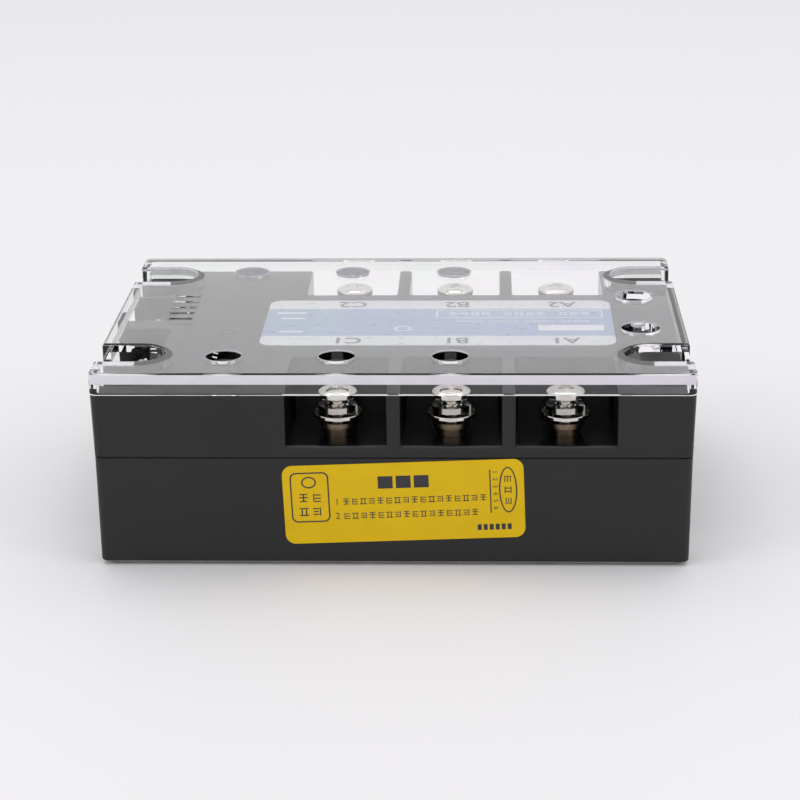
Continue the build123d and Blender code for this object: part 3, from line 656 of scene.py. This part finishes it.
lines.ring(*on_label(22.6, 6.2), rounded(31.4, 4.9, 0.4), rounded(30.9, 4.4, 0.25))
for index in range(13):
    if index not in (3, 8):
        lines.sign(*on_label(35.0 - 2.08 * index, 6.3), 2.0, index)
for index in range(24):
    if index % 6 != 5:
        lines.sign(*on_label(35.2 - 1.1 * index, 1.5), 1.1, index + 1)
lines.bar(*on_label(32.1, -2.5), 12.2, 3.4)
lines.ring(*on_label(0.8, -3.0), oval(3.2, 3.2), oval(2.4, 2.4))
lines.bar(*on_label(-20.5, 6.9), 5.6, 0.9)
lines.bar(*on_label(-20.0, 3.4), 4.6, 0.7)
lines.bar(*on_label(-19.9, -4.9), 4.4, 0.9)
lines.finish("rating_lines", "print_white")

# The front label leans with the drafted wall and was stuck on a little askew.
STICKER_SIZE = (42.2, 14.7)
STICKER_X, STICKER_Z, STICKER_TILT = 1.9, 12.3, 2.05
STICKER_LEAN = 0.2 / 19.85
STICKER_HALF_THICK = 0.06 * MM
front_low, front_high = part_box("front_label")
front_normal = Vector((0, -1, -STICKER_LEAN)).normalized()
front_across = Vector((1, 0, 0))
front_up = front_normal.cross(front_across)
front_middle_y = (front_low[1] + front_high[1]) / 2 - STICKER_HALF_THICK
front_place = (Matrix.Translation((STICKER_X * MM, front_middle_y, STICKER_Z * MM))
               @ Matrix((front_across, front_up, front_normal)).transposed().to_4x4()
               @ Matrix.Rotation(math.radians(STICKER_TILT), 4, "Z"))

# Places on this label are in millimetres from its left and top edges.
note = Printing(front_place)
left, top = -STICKER_SIZE[0] / 2, STICKER_SIZE[1] / 2
note.ring(left + 4.7, top - 6.0, rounded(6.8, 9.4, 1.1), rounded(6.3, 8.9, 0.9))
note.ring(left + 4.6, top - 3.2, oval(2.6, 2.2), oval(2.1, 1.7))
for index in range(4):
    note.sign(left + 3.55 + 2.3 * (index % 2), top - 6.1 - 2.6 * (index // 2), 1.75, index)
for index in range(3):
    note.bar(left + 18.0 + 3.15 * index, top - 3.6, 2.6, 2.3)
for row, y in enumerate((7.0, 9.7)):
    note.text(left + 9.4, top - y, str(row + 1), 1.7)
    for index in range(17 - row):
        note.sign(left + 11.0 + 1.5 * index, top - y, 1.3, index + row)
note.bar(left + 36.3, top - 5.9, 0.22, 8.1)
for index in range(6):
    note.text(left + 37.15, top - 2.3 - 1.35 * index, str(index + 1), 1.2, -90)
note.ring(left + 39.4, top - 5.7, oval(3.2, 8.6), oval(2.7, 8.1))
for index in range(3):
    note.sign(left + 39.4, top - 3.6 - 2.1 * index, 1.4, index + 1, 1)
for index in range(6):
    note.bar(left + 34.2 + 1.05 * index, top - 12.6, 0.7, 1.1)
note.finish("front_note", "print_dark")


# ---------------------------------------------------------------- stage, light and camera
def plain_look(name, colour, roughness):
    tree = Nodes(name).set(Roughness=roughness, Specular_IOR_Level=0.2)
    tree.link(tree.ramp(tree.noise(0.4), (0.3, colour), (0.7, tuple(channel * 1.01 for channel in colour))),
              tree.shader.inputs["Base Color"])
    return tree.material


FLOOR_HALF = 6.0
work = bmesh.new()
work.faces.new([work.verts.new((x * FLOOR_HALF, y * FLOOR_HALF, cad_box[0][2]))
                for x, y in ((-1, -1), (1, -1), (1, 1), (-1, 1))])
floor_mesh = bpy.data.meshes.new("floor")
work.to_mesh(floor_mesh)
work.free()
floor = bpy.data.objects.new("floor", floor_mesh)
bpy.context.scene.collection.objects.link(floor)
floor.data.materials.append(plain_look("floor_look", (0.72, 0.71, 0.72), 0.6))

world = bpy.data.worlds.new("studio")
bpy.context.scene.world = world
world.use_nodes = True
world.node_tree.nodes["Background"].inputs["Color"].default_value = (0.97, 0.965, 0.98, 1)
world.node_tree.nodes["Background"].inputs["Strength"].default_value = 0.98


def softbox(name, place, target, size, power):
    light = bpy.data.lights.new(name, "AREA")
    light.shape = "RECTANGLE"
    light.size, light.size_y = size
    light.energy = power
    holder = bpy.data.objects.new(name, light)
    bpy.context.scene.collection.objects.link(holder)
    holder.location = place
    holder.rotation_euler = (Vector(target) - Vector(place)).to_track_quat("-Z", "Y").to_euler()


softbox("light_top", (0.0, 0.15, 0.9), (0, 0, 0), (0.9, 0.7), 1.9)
softbox("light_left", (-0.75, -0.45, 0.55), (0, 0, 0.02), (0.5, 0.5), 1.3)
softbox("light_right", (0.75, -0.4, 0.5), (0, 0, 0.02), (0.5, 0.5), 0.9)

SENSOR, LENS = 36.0, 103.07
CAMERA_AT = (0.015736, -0.409393, 0.160498)
camera_data = bpy.data.cameras.new("camera")
camera_data.sensor_width = SENSOR
camera_data.lens = LENS
camera_data.clip_start, camera_data.clip_end = 0.01, 50
camera = bpy.data.objects.new("camera", camera_data)
bpy.context.scene.collection.objects.link(camera)
across = Vector((0.999344, 0.03439, -0.011396))
down = Vector((0.000511, -0.327898, -0.944713))
ahead = Vector((-0.036225, 0.944087, -0.3277))
camera.matrix_world = (Matrix.Translation(CAMERA_AT)
                       @ Matrix((across, -down, -ahead)).transposed().to_4x4())
bpy.context.scene.camera = camera
bpy.context.scene.view_settings.view_transform = "Standard"

bpy.context.view_layer.update()
